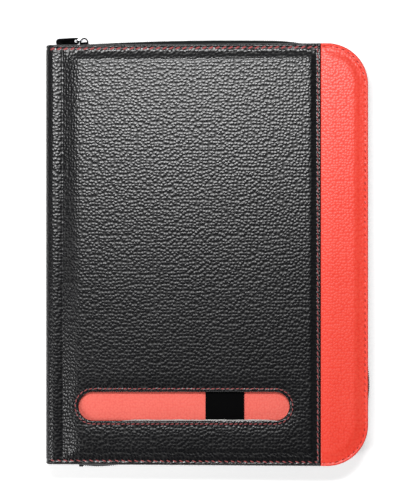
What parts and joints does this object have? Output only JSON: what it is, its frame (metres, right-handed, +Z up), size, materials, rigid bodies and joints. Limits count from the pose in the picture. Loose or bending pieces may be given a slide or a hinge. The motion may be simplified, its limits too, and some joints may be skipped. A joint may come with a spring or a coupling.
{
  "type": "zipped conference folder",
  "caption": "Zip-round A4 folder with a padded cover, a coloured fore-edge panel, a pen window and a writing pad inside.",
  "frame": {"origin": "centre of the back cover's outer face", "axes": "+Y from foot to head, +Z up through the closed folder, +X from the spine to the fore edge"},
  "size_m": [0.2596, 0.345, 0.0292],
  "materials": {
    "black_skin": "pebbled imitation leather",
    "red_skin": "pebbled imitation leather",
    "board": "grey board",
    "lining": "matt woven lining",
    "elastic": "woven elastic",
    "tape": "herringbone zip tape",
    "coil": "nylon coil",
    "chrome": "polished",
    "card": "plain card",
    "paper": "writing paper",
    "binding": "cloth tape"
  },
  "bodies": {
    "back_cover": {"back_skin": "black_skin", "back_board": "board", "back_lining": "lining", "back_tape": "tape", "back_teeth": "coil", "zip_end_stop": "coil", "pad_card": "card", "pad_sleeve": "lining", "pad_sheets": "paper", "pad_binding": "binding", "pen_loop": "elastic"},
    "spine": {"spine_skin": "black_skin", "spine_board": "board", "spine_lining": "lining"},
    "front_cover": {"front_panel": "black_skin", "fore_edge_panel": "red_skin", "window_insert": "red_skin", "pen_band": "elastic", "front_board": "board", "front_lining": "lining", "front_tape": "tape", "front_teeth": "coil", "document_pocket": "lining", "card_pocket_1": "lining", "card_pocket_2": "lining", "card_pocket_3": "lining"},
    "slider": {"slider_body": "chrome"},
    "link": {"pull_link": "chrome"},
    "pull": {"pull_tab": "chrome"}
  },
  "joints": [
    {"name": "spine_crease", "type": "hinge", "parent": "back_cover", "child": "spine", "pos_m": [-0.129, 0, 0], "axis": [0, -1, 0], "range_deg": [0, 90]},
    {"name": "cover_crease", "type": "hinge", "parent": "spine", "child": "front_cover", "pos_m": [-0.129, 0, 0.027], "axis": [0, -1, 0], "range_deg": [0, 90]},
    {"name": "slider_run", "type": "hinge", "parent": "back_cover", "child": "slider", "pos_m": [0.02, -1.9387, 0.0135], "axis": [0, 0, -1], "range_deg": [0, 4.1]},
    {"name": "link_swing", "type": "hinge", "parent": "slider", "child": "link", "pos_m": [-0.09973, 0.17201, 0.0135], "axis": [0, 0, -1], "range_deg": [0, 90]},
    {"name": "pull_swing", "type": "hinge", "parent": "link", "child": "pull", "pos_m": [-0.10542, 0.17169, 0.0135], "axis": [0, 0, -1], "range_deg": [0, 90]}
  ]
}
